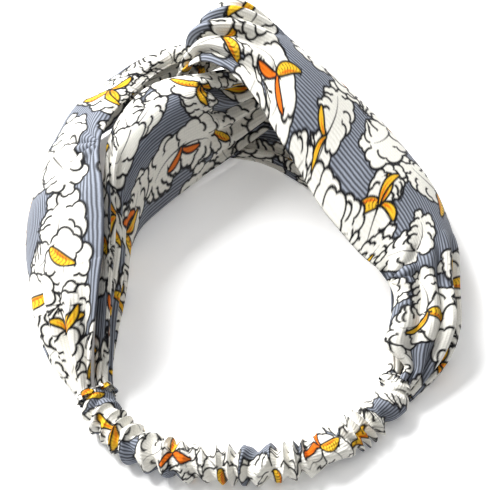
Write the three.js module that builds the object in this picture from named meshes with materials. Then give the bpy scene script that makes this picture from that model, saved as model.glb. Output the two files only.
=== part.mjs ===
// A knotted cloth headband, lying on a table as an open ring: two wide strips, each folded in half round
// the other to make the knot, sewn at the back to a gathered casing with a flat elastic inside.
// Millimetres, +Z up. The knot is at +Y, the elastic at -Y, and the table is Z = 0. The origin is on the
// table, in the middle of the ring's outline.
import * as THREE from "three";

// Driving dimensions
const STRIP_THICK = 2.4; // a strip is a sewn tube of cloth pressed flat: two layers and the air between
const THREAD_D = 0.6; // sewing thread
const GAP = 0.3; // the least clearance between two pieces that touch in cloth
const CASING_HALF_WIDTH = 7.2; // the gathered casing, across
const CASING_HALF_HEIGHT = 6.4;
const CASING_WALL = 1.4; // gathered cloth
const MOUTH_SHARE = 0.76; // the casing is drawn in to this share of its size where it meets the strips
const MOUTH_LENGTH = 9; // and swells to its full size over this length
const ELASTIC_CLEARANCE = 0.5; // from each edge of the elastic to the wall of the casing's mouth
const ELASTIC_WIDTH = 2 * (CASING_HALF_HEIGHT * MOUTH_SHARE - CASING_WALL - ELASTIC_CLEARANCE);
const ELASTIC_THICK = 1.2;
const JOIN_STITCH_INSET = 1.5; // from the casing's mouth to the line of stitches round it
const MOUTH_GAP = 0.5; // between a strip's pleated end and the casing's mouth

// Mesh fineness
const STRIP_STEPS = 66;
const STRIP_ACROSS = 6;
const CASING_STEPS = 34;
const CASING_SIDES = 12;
const THREAD_SIDES = 5;

// Each strip is set out by three lines, from its outer end at the back join, round the knot, to its inner
// end at the same join: its foot and crest, which are the strip's two long edges, and the middle between
// them. The points of the three lines in one place are one section of the strip.
const OUTLINE_CENTRE = new THREE.Vector3(-1, -11.5, 0); // the middle of the outline in the points below

// The left strip stands on edge: the foot is its lower edge and the crest its upper one.
const LEFT_STRIP = {
  foot: [
    [-66, -75, 3], [-77, -60, 1], [-84, -42, 1], [-89, -20, 1], [-90, 0, 1], [-87, 22, 1], [-77, 43, 1],
    [-62, 58, 1], [-44, 70, 2], [-24, 83, 5], [-4, 90, 9], [14, 90, 12], [24, 80, 12], [22, 66, 11],
    [10, 56, 9], [-4, 45, 6], [-20, 32, 3], [-37, 17, 1], [-46, 6, 1], [-50, -8, 1], [-52, -28, 1],
    [-55, -48, 1], [-61, -72.6, 3],
  ],
  middle: [
    [-67, -75.5, 8], [-76, -60, 14], [-81, -45, 22], [-85, -25, 27], [-87, -4, 31], [-84, 18, 34],
    [-74, 38, 40], [-61, 52, 43], [-45, 64, 42], [-26, 76, 36], [-5, 86, 30], [14, 88, 29], [23, 79, 29],
    [20, 68, 28], [8, 59, 29], [-7, 49, 30], [-18, 38, 44], [-33, 27, 47], [-44, 15, 46], [-52, 0, 38],
    [-54, -24, 28], [-57, -46, 18], [-61, -72.6, 8],
  ],
  crest: [
    [-64.5, -74.3, 13.5], [-64, -62, 24], [-61.5, -48, 38], [-59.8, -30, 50], [-59.8, -8, 57], [-61.5, 14, 55],
    [-56, 31, 52], [-47, 42.5, 51], [-37, 54.5, 50], [-22, 67, 49], [-4, 78, 45], [9, 82, 42], [16, 75, 42],
    [15, 66, 43], [4, 60, 46], [-9, 55, 51], [-25, 50.5, 54], [-41, 46, 52], [-53.4, 30.5, 52], [-58.2, 12, 54],
    [-57.2, -18, 50], [-58, -44, 34], [-60.7, -72.4, 13],
  ],
};

// The right strip lies over the knot and leans on it: the foot is its edge away from the ring's opening,
// the crest its edge beside the opening.
const RIGHT_STRIP = {
  foot: [
    [70, -71.5, 3], [80, -60, 1.4], [86, -44, 1.4], [89, -24, 1.4], [89, -4, 1.4], [84, 17, 1.4], [75, 36, 2],
    [62, 50, 8], [46, 60, 16], [29, 68, 30], [13, 75, 50], [-2, 80, 65], [-13, 73, 61], [-16, 65, 42],
    [-17, 67, 22], [-12, 66, 8], [2, 65, 3.5], [18, 64, 3.5], [36, 56, 5], [52, 44, 8], [67, 24, 12],
    [75, 2, 14], [77, -24, 12], [73, -48, 7], [66, -69, 3],
  ],
  middle: [
    [69, -71, 10], [78, -62, 14], [83, -49, 20], [82, -33, 22], [81, -14, 26], [73, 8, 30], [61, 22, 36],
    [49, 36, 41], [36, 48, 49], [22, 58, 57], [8, 66, 63], [-7, 67, 70], [-20, 65, 65], [-23, 60, 42],
    [-24, 60, 20], [-18, 57, 6], [-3, 55, 2.5], [13, 53, 2.5], [30, 44, 3], [45, 31, 5], [58, 13, 8],
    [67, -6, 11], [71, -29, 12], [68, -52, 10], [65, -68.5, 6.5],
  ],
  crest: [
    [64, -67.5, 13.5], [57, -61, 19], [59, -51, 22], [61, -40, 25], [56, -31, 28], [48, -25, 32],
    [40, -17, 36], [31, -7, 41], [24, 4, 46], [15, 17, 53], [6, 32, 58], [-3, 44, 61], [-17, 54, 60],
    [-31, 55, 40], [-31, 53, 22], [-24, 48, 8], [-8, 45, 2.1], [9, 41, 2], [24, 31, 2], [38, 17, 2.4],
    [50, 2, 4], [58, -12, 8], [61, -30, 11], [60, -52, 11], [62.5, -66.5, 9.5],
  ],
};

// The middle line of the gathered casing, from the left join to the right one.
const CASING_LINE = [
  [-61, -76], [-56, -88], [-47, -98], [-37, -103], [-24, -106.5], [-8, -108], [8, -108], [23, -105.5],
  [37, -99], [53, -86], [60, -78], [64, -71],
];

const cloth = (colour) =>
  new THREE.MeshStandardMaterial({ color: colour, roughness: 0.9, metalness: 0, side: THREE.DoubleSide });
const printedCloth = cloth(0x9a9ca6);
const elasticWeave = cloth(0xf2f0ea);
const thread = cloth(0xd8d6d2);

const group = new THREE.Group();

function add(name, geometry, material) {
  const mesh = new THREE.Mesh(geometry, material);
  mesh.name = name;
  group.add(mesh);
  return mesh;
}

function placed([x, y, z]) {
  return new THREE.Vector3(x, y, z).sub(OUTLINE_CENTRE);
}

// A closed solid through a row of rings that all have the same number of points. With holes, a second row
// of rings, it is a pipe.
function loft(rings, holes = null) {
  const points = [];
  const faces = [];
  const n = rings[0].length;
  const wall = (rows, inward) => {
    const first = points.length / 3;
    rows.forEach((ring) => ring.forEach((p) => points.push(p.x, p.y, p.z)));
    for (let i = 0; i + 1 < rows.length; i++)
      for (let k = 0; k < n; k++) {
        const a = first + i * n + k;
        const b = first + i * n + ((k + 1) % n);
        const quad = inward ? [a, a + n, b, b, a + n, b + n] : [a, b, a + n, b, b + n, a + n];
        faces.push(...quad);
      }
    return first;
  };
  const outer = wall(rings, false);
  const last = (rings.length - 1) * n;
  if (holes) {
    const inner = wall(holes, true);
    for (let k = 0; k < n; k++) {
      const m = (k + 1) % n;
      faces.push(outer + m, outer + k, inner + k, outer + m, inner + k, inner + m);
      faces.push(outer + last + k, outer + last + m, inner + last + k);
      faces.push(outer + last + m, inner + last + m, inner + last + k);
    }
  } else {
    // the rings of a flat strip fold back on themselves, so each end closes as a ladder between its sides
    for (let k = 0; k < n / 2 - 1; k++) {
      const m = n - 1 - k;
      faces.push(outer + k, outer + m, outer + k + 1, outer + k + 1, outer + m, outer + m - 1);
      faces.push(outer + last + k, outer + last + k + 1, outer + last + m);
      faces.push(outer + last + k + 1, outer + last + m - 1, outer + last + m);
    }
  }
  const geometry = new THREE.BufferGeometry();
  geometry.setAttribute("position", new THREE.Float32BufferAttribute(points, 3));
  geometry.setIndex(faces);
  geometry.computeVertexNormals();
  return geometry;
}

// The place and normal of a strip's cloth at share u along it and v from its foot to its crest.
function stripSurface(strip) {
  const lines = [strip.foot, strip.middle, strip.crest].map(
    (line) => new THREE.CatmullRomCurve3(line.map(placed), false, "centripetal"),
  );
  const pointAt = (u, v) => {
    const weights = [2 * (v - 0.5) * (v - 1), 4 * v * (1 - v), 2 * v * (v - 0.5)];
    const sum = new THREE.Vector3();
    lines.forEach((line, i) => sum.addScaledVector(line.getPoint(u), weights[i]));
    return sum;
  };
  const step = 0.5 / STRIP_STEPS;
  return (u, v) => {
    const along = pointAt(Math.min(u + step, 1), v).sub(pointAt(Math.max(u - step, 0), v));
    const across = pointAt(u, v + 0.05).sub(pointAt(u, v - 0.05));
    return { point: pointAt(u, v), normal: along.cross(across).normalize() };
  };
}

function stripSolid(strip) {
  const surface = stripSurface(strip);
  const rings = [];
  for (let i = 0; i <= STRIP_STEPS; i++) {
    const sides = [[], []];
    for (let k = 0; k <= STRIP_ACROSS; k++) {
      const { point, normal } = surface(i / STRIP_STEPS, k / STRIP_ACROSS);
      [1, -1].forEach((side, s) => {
        sides[s].push(point.clone().addScaledVector(normal, (side * STRIP_THICK) / 2));
      });
    }
    rings.push([...sides[0].reverse(), ...sides[1]]);
  }
  return loft(rings);
}

// A thread of THREAD_SIDES sides round a row of points, each with a direction across the thread.
function threadAlong(points, acrosses) {
  const rings = points.map((p, i) => {
    const next = points[Math.min(i + 1, points.length - 1)];
    const last = points[Math.max(i - 1, 0)];
    const along = next.clone().sub(last).normalize();
    const a = acrosses[i].clone().addScaledVector(along, -acrosses[i].dot(along)).normalize();
    const b = along.clone().cross(a);
    return Array.from({ length: THREAD_SIDES }, (_, k) => {
      const turn = (2 * Math.PI * k) / THREAD_SIDES;
      return p
        .clone()
        .addScaledVector(a, (THREAD_D / 2) * Math.cos(turn))
        .addScaledVector(b, (THREAD_D / 2) * Math.sin(turn));
    });
  });
  return capped(rings);
}

// A closed solid through rings whose ends close on their own middles.
function capped(rings) {
  const n = rings[0].length;
  const middleOf = (ring) => ring.reduce((sum, p) => sum.add(p), new THREE.Vector3()).divideScalar(n);
  const points = [...rings.flat(), middleOf(rings[0]), middleOf(rings[rings.length - 1])];
  const faces = [];
  const last = (rings.length - 1) * n;
  const [tip, tail] = [points.length - 2, points.length - 1];
  for (let k = 0; k < n; k++) {
    const m = (k + 1) % n;
    for (let i = 0; i + 1 < rings.length; i++) {
      const at = i * n;
      faces.push(at + k, at + m, at + n + k, at + m, at + n + m, at + n + k);
    }
    faces.push(tip, m, k, tail, last + k, last + m);
  }
  const geometry = new THREE.BufferGeometry().setFromPoints(points);
  geometry.setIndex(faces);
  geometry.computeVertexNormals();
  return geometry;
}

// The long seam of a strip's tube lies down the middle of the side that is folded inside.
function stripSeam(strip, foldedSide) {
  const surface = stripSurface(strip);
  const lift = foldedSide * (STRIP_THICK / 2 + GAP + THREAD_D / 2);
  const found = Array.from({ length: STRIP_STEPS + 1 }, (_, i) => surface(i / STRIP_STEPS, 0.5));
  return threadAlong(found.map((f) => f.point.addScaledVector(f.normal, lift)), found.map((f) => f.normal));
}

const casingLine = new THREE.CatmullRomCurve3(
  CASING_LINE.map(([x, y]) => placed([x, y, CASING_HALF_HEIGHT])),
  false,
  "centripetal",
);
const casingLength = casingLine.getLength();
const UP = new THREE.Vector3(0, 0, 1);

// The casing's middle and its sideways direction, at a distance along it.
function casingFrame(distance) {
  const u = THREE.MathUtils.clamp(distance / casingLength, 0, 1);
  const along = casingLine.getTangentAt(u);
  return { middle: casingLine.getPointAt(u), side: UP.clone().cross(along).normalize() };
}

// How much of its full size the casing has at a distance along it.
function casingShare(distance) {
  const fromMouth = Math.min(distance, casingLength - distance) / MOUTH_LENGTH;
  return MOUTH_SHARE + (1 - MOUTH_SHARE) * Math.sin((Math.PI / 2) * THREE.MathUtils.clamp(fromMouth, 0, 1));
}

// A ring across the casing with a flat side down, grown or shrunk by inset.
function casingRing(distance, inset) {
  const { middle, side } = casingFrame(distance);
  const share = casingShare(distance);
  const flat = Math.cos(Math.PI / CASING_SIDES);
  return Array.from({ length: CASING_SIDES }, (_, k) => {
    const turn = (2 * Math.PI * (k + 0.5)) / CASING_SIDES - Math.PI / 2;
    const half = [share * CASING_HALF_WIDTH - inset, share * CASING_HALF_HEIGHT - inset];
    return middle
      .clone()
      .addScaledVector(side, (half[0] / flat) * Math.cos(turn))
      .addScaledVector(UP, (half[1] / flat) * Math.sin(turn));
  });
}

function alongCasing(from, to) {
  return Array.from({ length: CASING_STEPS + 1 }, (_, i) => from + ((to - from) * i) / CASING_STEPS);
}

function casing() {
  const stops = alongCasing(MOUTH_GAP, casingLength - MOUTH_GAP);
  return loft(
    stops.map((d) => casingRing(d, 0)),
    stops.map((d) => casingRing(d, CASING_WALL)),
  );
}

function elastic() {
  const corners = [[1, -1], [1, 1], [-1, 1], [-1, -1]];
  return loft(
    alongCasing(MOUTH_GAP, casingLength - MOUTH_GAP).map((d) => {
      const { middle, side } = casingFrame(d);
      return corners.map(([s, h]) =>
        middle
          .clone()
          .addScaledVector(side, (s * ELASTIC_THICK) / 2)
          .addScaledVector(UP, (h * ELASTIC_WIDTH) / 2),
      );
    }),
  );
}

// The casing's own seam runs inside it, low down on the side of the ring's opening.
function casingSeam() {
  const turn = (-38 * Math.PI) / 180;
  const stops = alongCasing(MOUTH_GAP, casingLength - MOUTH_GAP);
  const inset = CASING_WALL + GAP + THREAD_D / 2;
  const frames = stops.map((d) => ({ ...casingFrame(d), share: casingShare(d) }));
  const points = frames.map(({ middle, side, share }) =>
    middle
      .clone()
      .addScaledVector(side, (share * CASING_HALF_WIDTH - inset) * Math.cos(turn))
      .addScaledVector(UP, (share * CASING_HALF_HEIGHT - inset) * Math.sin(turn)),
  );
  return threadAlong(points, frames.map(({ side }) => side));
}

// The line of stitches that closes a join goes once round the casing's mouth.
function joinStitching(distance) {
  const { middle, side } = casingFrame(distance);
  const share = casingShare(distance);
  const flat = Math.cos(Math.PI / CASING_SIDES);
  const off = GAP + THREAD_D / 2;
  const sides = 2 * CASING_SIDES;
  const ring = new THREE.TorusGeometry(1, 0.1, THREAD_SIDES, sides);
  const position = ring.getAttribute("position");
  const half = [(share * CASING_HALF_WIDTH) / flat + off, (share * CASING_HALF_HEIGHT) / flat + off];
  const along = side.clone().cross(UP);
  for (let i = 0; i < position.count; i++) {
    const p = new THREE.Vector3().fromBufferAttribute(position, i);
    const turn = Math.atan2(p.y, p.x);
    const out = ((Math.hypot(p.x, p.y) - 1) / 0.1) * (THREAD_D / 2);
    const moved = middle
      .clone()
      .addScaledVector(side, (half[0] + out) * Math.cos(turn))
      .addScaledVector(UP, (half[1] + out) * Math.sin(turn))
      .addScaledVector(along, (p.z / 0.1) * (THREAD_D / 2));
    position.setXYZ(i, moved.x, moved.y, moved.z);
  }
  return ring;
}

add("left_strip", stripSolid(LEFT_STRIP), printedCloth);
add("right_strip", stripSolid(RIGHT_STRIP), printedCloth);
add("elastic_casing", casing(), printedCloth);
add("elastic_band", elastic(), elasticWeave);
add("left_strip_seam", stripSeam(LEFT_STRIP, 1), thread);
add("right_strip_seam", stripSeam(RIGHT_STRIP, -1), thread);
add("casing_seam", casingSeam(), thread);
add("left_join_stitching", joinStitching(JOIN_STITCH_INSET), thread);
add("right_join_stitching", joinStitching(casingLength - JOIN_STITCH_INSET), thread);

export default group;
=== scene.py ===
"""A knotted cloth headband with a printed pattern, lying as an open ring on a pale table.

Lengths are in millimetres until a mesh is made. The knot is at +Y and the elastic at -Y.
"""
import math
import random

import bpy
import numpy as np
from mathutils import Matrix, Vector


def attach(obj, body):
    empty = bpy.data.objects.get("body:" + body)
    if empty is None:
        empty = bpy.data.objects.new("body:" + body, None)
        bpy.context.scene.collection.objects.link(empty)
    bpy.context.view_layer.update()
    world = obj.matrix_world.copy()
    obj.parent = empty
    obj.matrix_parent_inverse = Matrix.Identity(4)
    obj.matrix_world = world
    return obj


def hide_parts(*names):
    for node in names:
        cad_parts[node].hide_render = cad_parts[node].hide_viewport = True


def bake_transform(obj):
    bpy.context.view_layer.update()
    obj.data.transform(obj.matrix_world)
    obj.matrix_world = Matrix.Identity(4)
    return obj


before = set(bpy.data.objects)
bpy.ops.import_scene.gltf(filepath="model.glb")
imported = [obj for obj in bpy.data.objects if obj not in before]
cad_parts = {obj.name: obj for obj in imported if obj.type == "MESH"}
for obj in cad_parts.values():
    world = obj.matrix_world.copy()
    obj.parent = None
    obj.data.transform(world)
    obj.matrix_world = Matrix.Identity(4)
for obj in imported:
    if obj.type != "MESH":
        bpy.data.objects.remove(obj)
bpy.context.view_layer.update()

MM = 0.001
UP = np.array((0, 0, 1.0))
OUTLINE_CENTRE = np.array((-1, -11.5, 0))  # the middle of the outline in the points below

# The cloth
STRIP_WIDTH = 62  # a strip's tube, pressed flat
PLEATS = 4.5  # across a strip, wherever it is squeezed narrower than it was cut
PLEAT_MOST = 1.7  # how far a pleat stands off the strip's form, either way
STRIP_HALF_THICK = 0.95
GRAIN = 0.42  # how finely the cloth and its print are drawn
RIB_PITCH = 1.4
PRINT_PITCH = 35  # between the sprays of the print
LEAF_LENGTH = 24

# Each strip is set out by its foot and crest, which are its two long edges, and the middle between them,
# from its outer end at the back join, round the knot, to its inner end at the same join.
LEFT_STRIP = {
    "foot": [
        (-64, -79, 2), (-66, -74, 2), (-77, -60, 1), (-84, -42, 1), (-89, -20, 1), (-90, 0, 1), (-87, 22, 1),
        (-77, 43, 1), (-62, 58, 1), (-44, 70, 2), (-24, 83, 5), (-4, 90, 9), (14, 90, 12), (24, 80, 12),
        (22, 66, 11), (10, 56, 9), (-4, 45, 6), (-20, 32, 3), (-37, 17, 1), (-46, 6, 1), (-50, -8, 1),
        (-52, -28, 1), (-55, -48, 1), (-58, -70, 2), (-56, -76, 2),
    ],
    "middle": [
        (-66, -80, 7), (-67, -75, 8), (-76, -60, 14), (-81, -45, 22), (-85, -25, 27), (-87, -4, 31),
        (-84, 18, 34), (-74, 38, 40), (-61, 52, 43), (-45, 64, 42), (-26, 76, 36), (-5, 86, 30),
        (14, 88, 29), (23, 79, 29), (20, 68, 28), (8, 59, 29), (-7, 49, 30), (-18, 38, 44), (-33, 27, 47),
        (-44, 15, 46), (-52, 0, 38), (-54, -24, 28), (-57, -46, 18), (-57.5, -70, 8), (-54.5, -75.5, 7),
    ],
    "crest": [
        (-62, -78, 12.5), (-64, -74, 13.5), (-61.4, -62, 25), (-58.4, -48, 40), (-57, -30, 52),
        (-57.4, -8, 58), (-59.6, 14, 57), (-55, 31, 54), (-47, 42.5, 51), (-37, 54.5, 50), (-22, 67, 49),
        (-4, 78, 45), (9, 82, 42), (16, 75, 42), (15, 66, 43), (4, 60, 46), (-9, 55, 51), (-25, 50.5, 54),
        (-41, 46, 52), (-53.4, 30.5, 50),
        (-57.6, 12, 51), (-57.0, -18, 48), (-58, -44, 34), (-60, -71, 13), (-58.5, -76, 12.5),
    ],
}
RIGHT_STRIP = {
    "foot": [
        (66, -75, 2), (72, -69.5, 2), (80.5, -59, 1.4), (86, -44, 1.4), (89, -24, 1.4), (89, -4, 1.4),
        (84, 17, 1.4),
        (75, 36, 2), (62, 50, 8), (46, 60, 16), (29, 68, 30), (13, 75, 50), (-2, 80, 65), (-13, 73, 61),
        (-16, 65, 42), (-17, 67, 22), (-12, 66, 8), (2, 65, 3.5), (18, 64, 3.5), (36, 56, 5), (52, 44, 8),
        (67, 24, 12), (75, 2, 14), (77, -24, 12), (73, -48, 7), (64, -68, 3), (60, -74, 2),
    ],
    "middle": [
        (67, -75.5, 7), (73, -69, 10), (79, -60.5, 14), (83, -49, 20), (82, -33, 22), (81, -14, 26),
        (73, 8, 30),
        (61, 22, 36), (49, 36, 41), (36, 48, 49), (22, 58, 57), (8, 66, 63), (-7, 67, 70), (-20, 65, 65),
        (-23, 60, 42), (-24, 60, 20), (-18, 57, 6), (-3, 55, 2.5), (13, 53, 2.5), (30, 44, 3), (45, 31, 5),
        (58, 13, 8), (67, -6, 11), (71, -29, 12), (68, -52, 10), (62, -67, 6), (57, -72, 5),
    ],
    "crest": [
        (63, -72, 13), (65, -66.5, 14), (57, -60, 19), (59, -51, 22), (61, -40, 25), (56, -31, 28),
        (48, -25, 32),
        (40, -17, 36), (31, -7, 41), (24, 4, 46), (15, 17, 53), (6, 32, 58), (-3, 44, 61), (-17, 54, 60),
        (-31, 55, 40), (-31, 53, 22), (-24, 48, 8), (-8, 45, 2.1), (9, 41, 2), (24, 31, 2), (38, 17, 2.4),
        (50, 2, 4), (58, -12, 8), (61, -30, 11), (60, -52, 11), (60, -66, 10), (57, -71, 9),
    ],
}

# Soft folds that run out from a point of the cloth: its share of the way along and across the strip, how
# many folds go round it, how high they are and how far they reach.
LEFT_PINCHES = [(0.235, 1.0, 9, 1.6, 34), (0.60, 1.05, 7, 0.9, 26), (0.45, 0.5, 6, 0.8, 26)]
RIGHT_PINCHES = [(0.13, 1.0, 8, 1.3, 30), (0.52, 0.4, 7, 1.2, 34)]

# The gathered casing
CASING_LINE = [
    (-61, -76), (-56, -88), (-47, -98), (-37, -103), (-24, -106.5), (-8, -108), (8, -108), (23, -105.5),
    (37, -99), (53, -86), (60, -78), (64, -71),
]
CASING_HALF_WIDTH = 7.2
CASING_HALF_HEIGHT = 6.4
CASING_FLAT = (254, 48)  # the casing's cloth before it was gathered: as long as its line at full stretch
CASING_CLOTH = 0.5  # its thickness
RUFFLE_PITCH = 6.7
RUFFLE_HEIGHT = 5.2
MOUTH_SHARE = 0.62
MOUTH_LENGTH = 10
ELASTIC_WIDTH = 6
ELASTIC_THICK = 1.2

# Colours of the print, as light the cloth sends back
GROUND = (0.165, 0.18, 0.215)
CREAM = (0.88, 0.86, 0.79)
INK = (0.006, 0.006, 0.008)
GOLD = (0.93, 0.55, 0.03)
AMBER = (0.82, 0.17, 0.008)


class Cloth:
    """A flat piece of cloth with its print, sampled on a grid: millimetres along and across."""

    def __init__(self, length, width, along, across):
        self.x = np.linspace(0, length, along)
        self.y = np.linspace(0, width, across)
        self.dot = max(self.x[1], self.y[1])
        self.colour = np.empty((along, across, 3))
        self.colour[:] = GROUND
        self.bare = np.ones((along, across))

    def window(self, centre, reach):
        """The rows and columns within reach of a point, and their places from that point."""
        i = np.searchsorted(self.x, (centre[0] - reach, centre[0] + reach))
        j = np.searchsorted(self.y, (centre[1] - reach, centre[1] + reach))
        rows, columns = slice(*i), slice(*j)
        x, y = np.meshgrid(self.x[rows] - centre[0], self.y[columns] - centre[1], indexing="ij")
        return (rows, columns), x, y

    def lay(self, window, distance, colour, bare=0.0):
        """Lays a colour where distance, in millimetres from the shape's edge, is negative."""
        cover = np.clip(0.5 - distance / self.dot, 0, 1)
        old = self.colour[window]
        old += (np.asarray(colour) - old) * cover[..., None]
        self.bare[window] += (bare - self.bare[window]) * cover


def along_arc(x, y, heading, bend):
    """How far each place is along a curved line from the origin, and how far to its left."""
    c, s = math.cos(heading), math.sin(heading)
    x, y = x * c + y * s, y * c - x * s
    if abs(bend) < 1e-4:
        return x, y
    radius = 1 / bend
    turned = np.arctan2(x * np.sign(radius), (radius - y) * np.sign(radius))
    return turned * radius, radius - np.sign(radius) * np.hypot(x, radius - y)


def edge_distance(level, dot):
    """Millimetres from the line where a smooth field is zero, for a field sampled every dot."""
    if min(level.shape) < 2:
        return level
    gx, gy = np.gradient(level, dot)
    return level / np.clip(np.hypot(gx, gy), 0.4, 3)


def leaf(cloth, base, heading, length, half, bend, rng, line=1.1):
    """A leaf that curls along an arc: round scalloped lobes, inked one over the other, and a midrib."""
    window, x, y = cloth.window(base, 1.25 * length + half)
    if min(x.shape) < 3:
        return
    s, n = along_arc(x, y, heading, bend / length)
    lobes = rng.choice((3, 3, 4))
    for k in reversed(range(lobes + 1)):
        share = (k + 0.8) / (lobes + 0.9)
        grown = math.sin(math.pi * share**0.85) ** 0.6
        for side in (1, -1) if k < lobes else (0,):
            radius = half * (0.24 + 0.3 * grown) * rng.uniform(0.85, 1.15)
            ds = s - share * length * rng.uniform(0.9, 1.0)
            dn = n - side * 0.56 * half * grown * rng.uniform(0.85, 1.2)
            bumps = np.abs(np.sin(2.5 * np.arctan2(dn, ds) + rng.uniform(0, 3)))
            distance = edge_distance(np.hypot(ds, dn) - radius * (0.84 + 0.28 * bumps), cloth.dot)
            cloth.lay(window, distance - line, INK)
            cloth.lay(window, distance, CREAM)
    t = s / length
    heart = np.abs(n) - 0.56 * half * np.sqrt(np.clip(1 - t, 0, 1))
    heart = heart + 3 * length * np.abs(np.clip(t, 0.02, 0.8) - t)
    cloth.lay(window, edge_distance(heart, cloth.dot), CREAM)
    midrib = np.abs(n) - 0.55 * np.clip(0.9 - t, 0, 1) + 3 * length * np.abs(np.clip(t, 0, 0.75) - t)
    cloth.lay(window, midrib, INK)


def petal(cloth, base, heading, length, half, bend, colour=GOLD, line=1.0):
    """A slim petal, amber at its foot."""
    window, x, y = cloth.window(base, 1.2 * length)
    if min(x.shape) < 3:
        return
    s, n = along_arc(x, y, heading, bend / length)
    t = np.clip(s / length, 0, 1)
    level = np.abs(n) - half * np.sin(np.pi * t**1.4) ** 0.8 + np.abs(s / length - t) * 3 * length
    distance = edge_distance(level, cloth.dot)
    cloth.lay(window, distance - line, INK)
    cloth.lay(window, distance, colour)
    flush = np.abs(n) - 0.6 * half * np.clip(1 - 1.3 * t, 0, 1)
    cloth.lay(window, np.where(s > 0, np.maximum(flush, distance + 0.3), 9), AMBER)


def pod(cloth, base, heading, length, half, bend, line=0.95):
    """A long gold pod, amber down one side and inked across into seeds."""
    window, x, y = cloth.window(base, 1.2 * length)
    if min(x.shape) < 3:
        return
    s, n = along_arc(x, y, heading, bend / length)
    t = np.clip(s / length, 0, 1)
    level = np.abs(n) - half * np.sin(np.pi * t**0.8) ** 0.7 + np.abs(s / length - t) * 3 * length
    distance = edge_distance(level, cloth.dot)
    cloth.lay(window, distance - line, INK)
    cloth.lay(window, distance, GOLD)
    cloth.lay(window, np.maximum(distance + 0.2, n + 0.35 * half), AMBER)
    seeds = np.abs(np.sin(np.pi * (s + 0.5 * np.abs(n)) / (0.85 * half))) - 0.3
    cloth.lay(window, np.maximum(distance + 0.25, seeds), INK)


def spray(cloth, centre, heading, size, rng):
    """Leaves that fan out of one point and curl, with gold petals and a pod among them."""
    count = rng.choice((2, 3, 3))
    spread = math.radians(rng.uniform(150, 230))
    for k in sorted(range(count), key=lambda k: -abs(k - (count - 1) / 2)):
        share = k / (count - 1) - 0.5
        length = size * rng.uniform(0.85, 1.2) * (1 - 0.3 * abs(share))
        bend = math.copysign(rng.uniform(0.8, 2.0), share + 0.01)
        leaf(cloth, centre, heading + spread * share, length, length * rng.uniform(0.36, 0.46), bend, rng)
    turn = heading + math.pi + rng.uniform(-0.6, 0.6)
    if rng.random() < 0.5:
        tint = GOLD if rng.random() < 0.6 else AMBER
        for k in (-1, 1):
            length = size * rng.uniform(0.4, 0.6)
            petal(cloth, centre, turn + 0.4 * k, length, 0.11 * length, 1.2 * k, tint)
    if rng.random() < 0.75:
        side = rng.choice((-1, 1))
        pod(cloth, centre, heading + side * rng.uniform(0.1, 0.5), 0.6 * size, 0.085 * size, -side * 0.9)
    if rng.random() < 0.5:
        side = rng.choice((-1, 1))
        petal(cloth, centre, heading + side * 1.4, size * 0.6, 0.05 * size, side * 1.2)


def print_cloth(length, width, along, across, pitch, seed):
    """Cloth with the sprays of the print spread over it on a loose net."""
    cloth = Cloth(length, width, along, across)
    rng = random.Random(seed)
    spots = []
    for r in range(round(width / (0.86 * pitch)) + 2):
        for c in range(round(length / pitch) + 2):
            x = (c - 0.5 + 0.5 * (r % 2) + rng.uniform(-0.16, 0.16)) * pitch
            y = (0.86 * r - 0.4 + rng.uniform(-0.16, 0.16)) * pitch
            spots.append((x, y, rng.uniform(0, 2 * math.pi)))
    rng.shuffle(spots)
    for x, y, heading in spots:
        spray(cloth, (x, y), heading, LEAF_LENGTH, rng)
    return cloth


# Curves and surfaces


def through(points, at):
    """Places on a smooth curve through rows of points, where at runs from 0 to 1."""
    points = np.asarray(points, float)
    padded = np.concatenate([2 * points[:1] - points[1:2], points, 2 * points[-1:] - points[-2:-1]])
    last = len(points) - 1
    x = np.clip(np.asarray(at) * last, 0, last - 1e-9)
    i = x.astype(int)
    t = (x - i).reshape((-1,) + (1,) * (points.ndim - 1))
    a, b, c, d = (padded[i + k] for k in range(4))
    return 0.5 * (2 * b + (c - a) * t + (2 * a - 5 * b + 4 * c - d) * t**2 + (3 * b - a - 3 * c + d) * t**3)


def evenly(points, count):
    """count shares of the way along a curve through points that lie evenly along its length."""
    fine = np.linspace(0, 1, 40 * len(points))
    steps = np.linalg.norm(np.diff(through(points, fine), axis=0), axis=1)
    run = np.concatenate([[0], np.cumsum(steps)])
    return np.interp(np.linspace(0, run[-1], count), run, fine), run[-1]


def unit(vectors):
    return vectors / np.maximum(np.linalg.norm(vectors, axis=-1, keepdims=True), 1e-9)


def strip_sheet(strip, pinches, along):
    """The middle of a strip's cloth, as rows of sections, with its normals and its length."""
    shares, length = evenly(strip["middle"], along)
    lines = [through(np.array(strip[k]) - OUTLINE_CENTRE, shares) for k in ("foot", "middle", "crest")]
    foot, middle, crest = (line[:, None] for line in lines)
    across = round(STRIP_WIDTH / GRAIN)
    v = np.linspace(0, 1, across)[None, :, None]
    sheet = foot * 2 * (v - 0.5) * (v - 1) + middle * 4 * v * (1 - v) + crest * 2 * v * (v - 0.5)
    normals = sheet_normals(sheet)
    widths = np.linalg.norm(np.diff(sheet, axis=1), axis=2).sum(axis=1)
    lift = folds(np.linspace(0, 1, along), v[0, :, 0], length, pinches, pleat_height(widths))
    sheet = sheet + normals * lift[..., None]
    sheet[..., 2] = np.maximum(sheet[..., 2], STRIP_HALF_THICK + 0.1)
    return sheet, sheet_normals(sheet), length


def sheet_normals(sheet):
    return unit(np.cross(np.gradient(sheet, axis=0), np.gradient(sheet, axis=1)))


def pleat_height(widths):
    """How high the pleats must be for cloth of the cut's width to fit in each width of the form."""
    squeeze = np.maximum(STRIP_WIDTH / widths, 1)
    return np.minimum(widths / (2 * np.pi * PLEATS) * np.sqrt(2 * (squeeze**2 - 1)), PLEAT_MOST)


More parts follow.
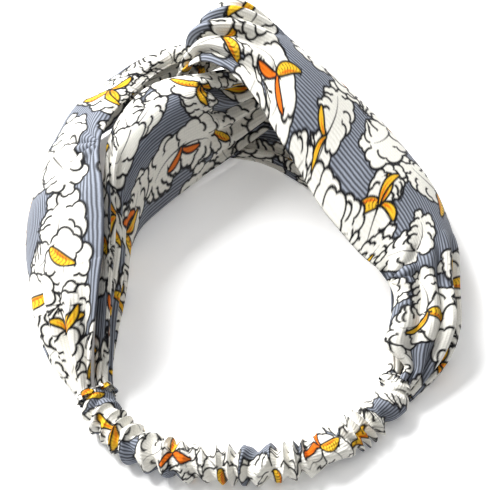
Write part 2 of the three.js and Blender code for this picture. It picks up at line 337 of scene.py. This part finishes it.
def folds(u, v, length, pinches, pleats):
    """How far the cloth stands off its smooth form."""
    u, v = np.meshgrid(u, v, indexing="ij")
    lift = pleats[:, None] * np.sin(2 * np.pi * (PLEATS * v + 0.3 * np.sin(9 * u)))
    lift += 0.35 * np.sin(2 * np.pi * (2.2 * v + 2.1 * u)) * np.sin(np.pi * v)
    lift += 0.25 * np.sin(2 * np.pi * (3.1 * v - 3.7 * u) + 1.0) * np.sin(np.pi * v)
    for at_u, at_v, count, height, reach in pinches:
        x, y = (u - at_u) * length, (v - at_v) * STRIP_WIDTH
        r = np.hypot(x, y)
        ray = np.sin(count * np.arctan2(y, x) + 0.8 * np.sin(r / 9))
        lift += height * ray * (r / 10) / (1 + (r / 10)) * np.exp(-((r / reach) ** 2))
    return lift


# Meshes


def mesh_object(name, points, faces, material, uv=None, colours=None):
    mesh = bpy.data.meshes.new(name)
    mesh.vertices.add(len(points))
    mesh.vertices.foreach_set("co", (np.asarray(points, float) * MM).ravel())
    faces = np.asarray(faces, np.int32)
    mesh.loops.add(faces.size)
    mesh.loops.foreach_set("vertex_index", faces.ravel())
    mesh.polygons.add(len(faces))
    mesh.polygons.foreach_set("loop_start", np.arange(0, faces.size, faces.shape[1], dtype=np.int32))
    mesh.update(calc_edges=True)
    mesh.polygons.foreach_set("use_smooth", np.ones(len(faces), bool))
    if uv is not None:
        layer = mesh.uv_layers.new(name="cloth")
        layer.data.foreach_set("uv", np.asarray(uv, float)[faces.ravel()].ravel())
    if colours is not None:
        attribute = mesh.color_attributes.new("print", "FLOAT_COLOR", "POINT")
        attribute.data.foreach_set("color", np.asarray(colours, float).ravel())
    mesh.materials.append(material)
    piece = bpy.data.objects.new(name, mesh)
    bpy.context.scene.collection.objects.link(piece)
    return piece


def grid_faces(rows, columns, closed=False):
    i = np.arange(rows - 1)[:, None]
    j = np.arange(columns if closed else columns - 1)[None, :]
    k = (j + 1) % columns
    this_row, next_row = i * columns, (i + 1) * columns
    return np.stack([this_row + j, next_row + j, next_row + k, this_row + k], axis=-1).reshape(-1, 4)


def strip_piece(name, strip, pinches, folded_side, seed, material):
    """A strip: a printed tube of cloth pressed flat, whose seam runs down the folded side."""
    along = round(evenly(strip["middle"], 2)[1] / GRAIN)
    sheet, normals, length = strip_sheet(strip, pinches, along)
    across = sheet.shape[1]
    v = np.linspace(0, 1, across)
    puff = STRIP_HALF_THICK * (1 - np.abs(2 * v - 1) ** 14) ** 0.5
    half = across // 2
    plain = sheet - folded_side * normals * puff[:, None]
    inner = sheet + folded_side * normals * puff[:, None]
    # once round the tube from the seam: out to the foot, over the plain side, and back from the crest
    ring = np.concatenate([inner[:, half:0:-1], plain, inner[:, across - 2:half:-1]], axis=1)
    columns = ring.shape[1]
    cloth = print_cloth(length, 2 * STRIP_WIDTH, along, columns, PRINT_PITCH, seed)
    x, y = np.meshgrid(cloth.x, cloth.y, indexing="ij")
    colours = np.concatenate([cloth.colour, cloth.bare[..., None]], axis=-1)
    faces = grid_faces(along, columns, closed=True)
    if folded_side < 0:
        faces = faces[:, ::-1]
    uv = np.stack([x, y], axis=-1).reshape(-1, 2)
    piece = mesh_object(name, ring.reshape(-1, 3), faces, material, uv, colours.reshape(-1, 4))
    return piece, length


# The casing


def waves(x, seed, count=4, slow=0.06):
    """A smooth random line with values of about -1 to 1."""
    rng = random.Random(seed)
    total = sum(np.sin(x * slow * rng.uniform(0.6, 2.4) + rng.uniform(0, 6.28)) for _ in range(count))
    return total / count * 1.6


def casing_frames(count):
    line = np.array([(x, y, CASING_HALF_HEIGHT) for x, y in CASING_LINE]) - OUTLINE_CENTRE
    shares, length = evenly(line, count)
    middle = through(line, shares)
    ahead = unit(np.gradient(middle, axis=0))
    side = unit(np.cross(UP, ahead))
    return middle, ahead, side, length


def casing_piece(material):
    """Cloth gathered on the elastic: a tube whose ruffles wander round it."""
    along, around = 560, 100
    middle, ahead, side, length = casing_frames(along)
    s = np.linspace(0, length, along)[:, None]
    turn = np.linspace(0, 2 * np.pi, around, endpoint=False)[None, :]
    beat = s / RUFFLE_PITCH + 0.5 * waves(s, 1, slow=0.12)
    beat = beat + 0.4 * np.sin(turn + 1.6 * waves(s, 2)) + 0.12 * np.sin(2 * turn + 2 * waves(s, 3))
    height = RUFFLE_HEIGHT * (0.75 + 0.35 * waves(s + 6 * np.cos(turn), 4, slow=0.2))
    ruffle = height * (np.sqrt(np.sin(np.pi * beat) ** 2 + 0.015) ** 0.8 - 0.7)
    creases = 0.22 * np.sin(2 * np.pi * 2.3 * beat + 3 * np.sin(turn))
    ruffle += creases + 0.15 * np.sin(5 * turn + 2.5 * waves(s, 5, slow=0.3))
    from_mouth = np.clip(np.minimum(s, length - s) / MOUTH_LENGTH, 0, 1)
    share = MOUTH_SHARE + (1 - MOUTH_SHARE) * np.sin(np.pi / 2 * from_mouth)
    ruffle = ruffle * (0.35 + 0.65 * from_mouth)
    wide = share * CASING_HALF_WIDTH + ruffle
    high = share * CASING_HALF_HEIGHT + ruffle
    lean = 0.5 * np.sin(2 * np.pi * beat) * from_mouth
    points = middle[:, None] + side[:, None] * (wide * np.cos(turn))[..., None]
    points = points + ahead[:, None] * lean[..., None]
    points[..., 2] += high * np.sin(turn)
    points[..., 2] = np.maximum(points[..., 2], 0.05)
    cloth = print_cloth(*CASING_FLAT, along, around, PRINT_PITCH, 31)
    x, y = np.meshgrid(cloth.x, cloth.y, indexing="ij")
    colours = np.concatenate([cloth.colour, cloth.bare[..., None]], axis=-1).reshape(-1, 4)
    uv = np.stack([x, y], axis=-1).reshape(-1, 2)
    # the cloth's two faces, joined round both mouths
    inner = points - unit(points - middle[:, None]) * CASING_CLOTH
    skin = np.concatenate([points, inner[::-1]]).reshape(-1, 3)
    faces = grid_faces(2 * along + 1, around, True)[:, ::-1] % len(skin)
    uv = np.concatenate([uv, uv.reshape(along, around, 2)[::-1].reshape(-1, 2)])
    colours = np.concatenate([colours, colours.reshape(along, around, 4)[::-1].reshape(-1, 4)])
    piece = mesh_object("gathered_casing", skin, faces, material, uv, colours)
    return piece, length


def elastic_piece(material):
    """The flat elastic inside the casing, standing on edge."""
    rows = 180
    middle, _, side, length = casing_frames(rows)
    corner = 0.25
    half_t, half_w = ELASTIC_THICK / 2, ELASTIC_WIDTH / 2
    profile = []
    for quarter, (a, b) in enumerate(((1, 1), (-1, 1), (-1, -1), (1, -1))):
        for k in range(4):
            turn = quarter * math.pi / 2 + k * math.pi / 6
            x = a * (half_t - corner) + corner * math.cos(turn)
            y = b * (half_w - corner) + corner * math.sin(turn)
            profile.append((x, y))
    profile = np.array(profile)
    points = middle[:, None] + side[:, None] * profile[None, :, :1] + UP * profile[None, :, 1:]
    s = np.linspace(0, length, rows)
    around = np.linspace(0, 2 * ELASTIC_WIDTH, len(profile))
    uv = np.stack(np.meshgrid(s, around, indexing="ij"), axis=-1).reshape(-1, 2)
    faces = grid_faces(rows, len(profile), True)[:, ::-1]
    piece = mesh_object("elastic", points.reshape(-1, 3), faces, material, uv)
    return piece


# Stitches


def stitch_row(name, points, outs, material, length=2.2, gap=1.0, radius=0.22):
    """A row of stitches along a line: short rounded dashes that bulge off the cloth."""
    points = np.asarray(points)
    run = np.concatenate([[0], np.cumsum(np.linalg.norm(np.diff(points, axis=0), axis=1))])
    rings, sides = 7, 6
    all_points, all_faces = [], []
    start = gap / 2
    while start + length < run[-1]:
        at = start + length * np.linspace(0, 1, rings)
        middle = np.stack([np.interp(at, run, points[:, k]) for k in range(3)], axis=-1)
        out = unit(np.stack([np.interp(at, run, outs[:, k]) for k in range(3)], axis=-1))
        ahead = unit(np.gradient(middle, axis=0))
        across = unit(np.cross(ahead, out))
        bulge = np.sin(np.pi * np.linspace(0.06, 0.94, rings))[:, None]
        middle = middle + out * radius * (bulge - 0.4)
        turn = np.linspace(0, 2 * np.pi, sides, endpoint=False)
        thick = (radius * bulge**0.4)[:, :, None]
        up, aside = np.sin(turn)[None, :, None], np.cos(turn)[None, :, None]
        ring = middle[:, None] + thick * (out[:, None] * up + across[:, None] * aside)
        base = len(all_points) * rings * sides
        all_points.append(ring.reshape(-1, 3))
        all_faces.append(grid_faces(rings, sides, True) + base)
        start += length + gap
    piece = mesh_object(name, np.concatenate(all_points), np.concatenate(all_faces), material)
    return piece


def strip_seam(name, strip, pinches, folded_side, material):
    along = 400
    sheet, normals, _ = strip_sheet(strip, pinches, along)
    half = sheet.shape[1] // 2
    line = sheet[:, half] + folded_side * normals[:, half] * (STRIP_HALF_THICK + 0.1)
    return stitch_row(name, line[8:-8], folded_side * normals[8:-8, half], material)


def join_stitches(name, at_end, material):
    middle, _, side, _ = casing_frames(200)
    row = -1 if at_end else 0
    turn = np.linspace(0, 2 * np.pi, 60)
    out = side[row] * np.cos(turn)[:, None] + UP * np.sin(turn)[:, None]
    line = middle[row] + out * np.array((7.0, 7.0, 6.0))
    line[:, 2] = np.maximum(line[:, 2], 0.3)
    return stitch_row(name, line, out, material, length=1.8, gap=0.8, radius=0.25)


# Materials


def new_material(name):
    material = bpy.data.materials.new(name)
    material.use_nodes = True
    tree = material.node_tree
    shader = tree.nodes["Principled BSDF"]
    return material, tree, shader


def maths(tree, operation, *values, clamp=False):
    node = tree.nodes.new("ShaderNodeMath")
    node.operation = operation
    node.use_clamp = clamp
    for socket, value in zip(node.inputs, values):
        if isinstance(value, (int, float)):
            socket.default_value = value
        else:
            tree.links.new(value, socket)
    return node.outputs[0]


def printed_cloth():
    """Ribbed cloth with a print: light ribs with dark gaps on the bare ground, faint ones under the print."""
    material, tree, shader = new_material("printed_cloth")
    nodes, links = tree.nodes, tree.links
    ink = nodes.new("ShaderNodeAttribute")
    ink.attribute_name = "print"
    uv = nodes.new("ShaderNodeUVMap")
    uv.uv_map = "cloth"
    split = nodes.new("ShaderNodeSeparateXYZ")
    links.new(uv.outputs[0], split.inputs[0])
    along, across = split.outputs[0], split.outputs[1]
    wobble = nodes.new("ShaderNodeTexNoise")
    wobble.inputs["Scale"].default_value = 0.12
    wobble.inputs["Detail"].default_value = 2
    links.new(uv.outputs[0], wobble.inputs["Vector"])
    waver = maths(tree, "MULTIPLY", wobble.outputs[0], 3.0)
    phase = maths(tree, "MULTIPLY_ADD", across, 2 * math.pi / RIB_PITCH, waver)
    rib = maths(tree, "MULTIPLY_ADD", maths(tree, "SINE", phase), 0.5, 0.5)
    beads = maths(tree, "SINE", maths(tree, "MULTIPLY_ADD", along, 2 * math.pi / 1.1, phase))
    bead = maths(tree, "MULTIPLY_ADD", beads, 0.5, 0.5)
    # shade on the bare ground and under the print
    ground = maths(tree, "MULTIPLY_ADD", rib, 1.35, 0.35)
    printed = maths(tree, "MULTIPLY_ADD", maths(tree, "MULTIPLY", rib, bead), 0.12, 0.9)
    shade = nodes.new("ShaderNodeMix")
    links.new(ink.outputs["Alpha"], shade.inputs["Factor"])
    links.new(printed, shade.inputs["A"])
    links.new(ground, shade.inputs["B"])
    mottle = nodes.new("ShaderNodeTexNoise")
    mottle.inputs["Scale"].default_value = 0.9
    mottle.inputs["Detail"].default_value = 4
    links.new(uv.outputs[0], mottle.inputs["Vector"])
    patchy = maths(tree, "MULTIPLY_ADD", mottle.outputs[0], 0.22, 0.89)
    total = maths(tree, "MULTIPLY", shade.outputs[0], patchy)
    tint = nodes.new("ShaderNodeVectorMath")
    tint.operation = "SCALE"
    links.new(ink.outputs["Color"], tint.inputs[0])
    links.new(total, tint.inputs["Scale"])
    links.new(tint.outputs[0], shader.inputs["Base Color"])
    relief = maths(tree, "MULTIPLY_ADD", bead, 0.25, rib)
    bump = nodes.new("ShaderNodeBump")
    bump.inputs["Strength"].default_value = 0.5
    bump.inputs["Distance"].default_value = 0.25 * MM
    links.new(relief, bump.inputs["Height"])
    links.new(bump.outputs[0], shader.inputs["Normal"])
    shader.inputs["Roughness"].default_value = 0.6
    shader.inputs["Sheen Weight"].default_value = 0.03
    shader.inputs["Sheen Roughness"].default_value = 0.5
    shader.inputs["Specular IOR Level"].default_value = 0.12
    return material


def woven_elastic():
    material, tree, shader = new_material("woven_elastic")
    nodes, links = tree.nodes, tree.links
    uv = nodes.new("ShaderNodeUVMap")
    uv.uv_map = "cloth"
    split = nodes.new("ShaderNodeSeparateXYZ")
    links.new(uv.outputs[0], split.inputs[0])
    warp = maths(tree, "SINE", maths(tree, "MULTIPLY", split.outputs[1], 2 * math.pi / 0.8))
    weft = maths(tree, "SINE", maths(tree, "MULTIPLY", split.outputs[0], 2 * math.pi / 0.6))
    weave = maths(tree, "MULTIPLY", warp, weft)
    ramp = nodes.new("ShaderNodeValToRGB")
    ramp.color_ramp.elements[0].color = (0.6, 0.58, 0.54, 1)
    ramp.color_ramp.elements[1].color = (0.85, 0.83, 0.79, 1)
    links.new(maths(tree, "MULTIPLY_ADD", weave, 0.5, 0.5), ramp.inputs[0])
    links.new(ramp.outputs[0], shader.inputs["Base Color"])
    bump = nodes.new("ShaderNodeBump")
    bump.inputs["Strength"].default_value = 0.5
    bump.inputs["Distance"].default_value = 0.1 * MM
    links.new(weave, bump.inputs["Height"])
    links.new(bump.outputs[0], shader.inputs["Normal"])
    shader.inputs["Roughness"].default_value = 0.8
    return material


def sewing_thread():
    material, tree, shader = new_material("sewing_thread")
    nodes, links = tree.nodes, tree.links
    place = nodes.new("ShaderNodeTexCoord")
    twist = nodes.new("ShaderNodeTexNoise")
    twist.inputs["Scale"].default_value = 3000
    links.new(place.outputs["Object"], twist.inputs["Vector"])
    ramp = nodes.new("ShaderNodeValToRGB")
    ramp.color_ramp.elements[0].color = (0.5, 0.49, 0.46, 1)
    ramp.color_ramp.elements[1].color = (0.75, 0.74, 0.7, 1)
    links.new(twist.outputs[0], ramp.inputs[0])
    links.new(ramp.outputs[0], shader.inputs["Base Color"])
    shader.inputs["Roughness"].default_value = 0.6
    return material


# The room


def plain_table():
    material, tree, shader = new_material("pale_table")
    noise = tree.nodes.new("ShaderNodeTexNoise")
    noise.inputs["Scale"].default_value = 40
    ramp = tree.nodes.new("ShaderNodeValToRGB")
    ramp.color_ramp.elements[0].color = (0.93, 0.93, 0.93, 1)
    ramp.color_ramp.elements[1].color = (0.96, 0.96, 0.96, 1)
    tree.links.new(noise.outputs[0], ramp.inputs[0])
    tree.links.new(ramp.outputs[0], shader.inputs["Base Color"])
    shader.inputs["Roughness"].default_value = 0.9
    shader.inputs["Emission Color"].default_value = (1, 1, 1, 1)
    shader.inputs["Emission Strength"].default_value = 0.2
    size = 4.0
    mesh = bpy.data.meshes.new("table")
    corners = [(-size, -size, 0), (size, -size, 0), (size, size, 0), (-size, size, 0)]
    mesh.from_pydata(corners, [], [(0, 1, 2, 3)])
    mesh.materials.append(material)
    table = bpy.data.objects.new("table", mesh)
    bpy.context.scene.collection.objects.link(table)


def area_light(name, place, aim, size, power):
    light = bpy.data.lights.new(name, "AREA")
    light.size = size
    light.energy = power
    lamp = bpy.data.objects.new(name, light)
    lamp.location = place
    lamp.rotation_euler = (Vector(aim) - Vector(place)).to_track_quat("-Z", "Y").to_euler()
    bpy.context.scene.collection.objects.link(lamp)


def studio():
    scene = bpy.context.scene
    scene.view_settings.view_transform = "Standard"
    world = bpy.data.worlds.new("studio")
    world.use_nodes = True
    world.node_tree.nodes["Background"].inputs[0].default_value = (1, 1, 1, 1)
    world.node_tree.nodes["Background"].inputs[1].default_value = 0.08
    scene.world = world
    area_light("key", (-0.65, 0.6, 0.9), (0, 0, 0.02), 0.65, 36.0)
    area_light("fill", (0.0, 0.3, 1.3), (0, 0, 0), 1.8, 12.0)


def camera():
    elevation, distance, view_width = math.radians(58), 0.95, 0.2107
    aim = Vector((0.001, 0.0115, 0))
    lens = bpy.data.cameras.new("camera")
    lens.sensor_width = 36
    lens.lens = 36 * distance / view_width
    lens.dof.use_dof = False
    eye = bpy.data.objects.new("camera", lens)
    eye.location = aim + Vector((0, -math.cos(elevation), math.sin(elevation))) * distance
    eye.rotation_euler = (math.pi / 2 - elevation, 0, 0)
    bpy.context.scene.collection.objects.link(eye)
    bpy.context.scene.camera = eye


def headband():
    cloth, elastic, thread = printed_cloth(), woven_elastic(), sewing_thread()
    strips = (("left", LEFT_STRIP, LEFT_PINCHES, 1, 11), ("right", RIGHT_STRIP, RIGHT_PINCHES, -1, 23))
    for name, strip, pinches, folded_side, seed in strips:
        piece, length = strip_piece(name + "_cloth", strip, pinches, folded_side, seed, cloth)
        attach(piece, "front")
        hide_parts(name + "_strip")
        seam = strip_seam(name + "_seam_stitches", strip, pinches, folded_side, thread)
        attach(seam, "front")
        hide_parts(name + "_strip_seam")
        stitches = join_stitches(name + "_join_stitches", name == "right", thread)
        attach(stitches, "front")
        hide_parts(name + "_join_stitching")
    casing, length = casing_piece(cloth)
    band = elastic_piece(elastic)
    middle, _, side, _ = casing_frames(200)
    turn = math.radians(-38)
    out = side * math.cos(turn) + UP * math.sin(turn)
    line = middle + out * np.array((4.3, 4.3, 3.6))
    seam = stitch_row("casing_seam_stitches", line[12:-12], -out[12:-12], thread)
    # the casing, its elastic and its seam keep their places as built, and the parts they stand for are hidden
    for piece, node in ((casing, "elastic_casing"), (band, "elastic_band"), (seam, "casing_seam")):
        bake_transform(piece)
        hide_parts(node)


camera()
headband()
plain_table()
studio()
